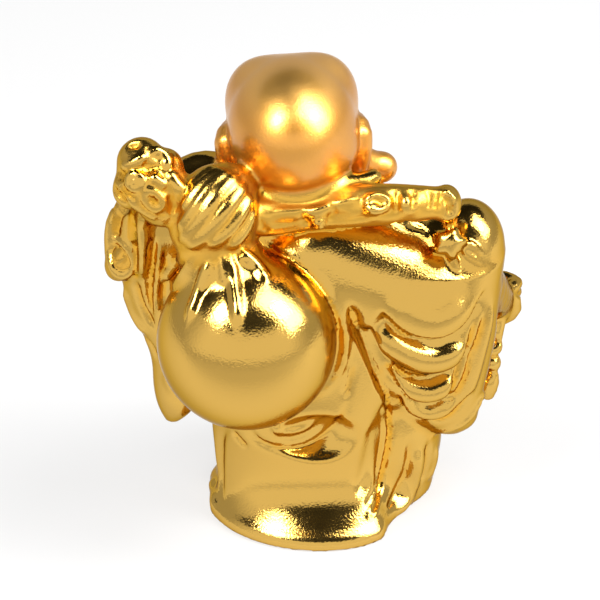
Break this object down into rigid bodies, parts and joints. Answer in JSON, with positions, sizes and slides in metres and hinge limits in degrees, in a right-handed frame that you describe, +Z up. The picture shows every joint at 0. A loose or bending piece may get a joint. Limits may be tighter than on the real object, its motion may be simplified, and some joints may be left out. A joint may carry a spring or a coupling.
{
  "type": "budai figure",
  "caption": "Small gold figure of a standing, bald, round-bellied monk with a staff across the shoulders and a cloth sack tied to it behind.",
  "frame": {"origin": "centre of the figure's bounding box, on the plane it stands on", "axes": "+Z up through the head, -Y the way the figure faces, +X to the side of the figure's left hand"},
  "size_m": [0.0796, 0.0644, 0.091],
  "materials": {
    "gold_plate": "moulded resin with a bright yellow gold plating of slightly grainy mirror finish, and a satin orange-gold spray on the head"
  },
  "bodies": {
    "root": {"figure": "gold_plate"}
  },
  "joints": []
}
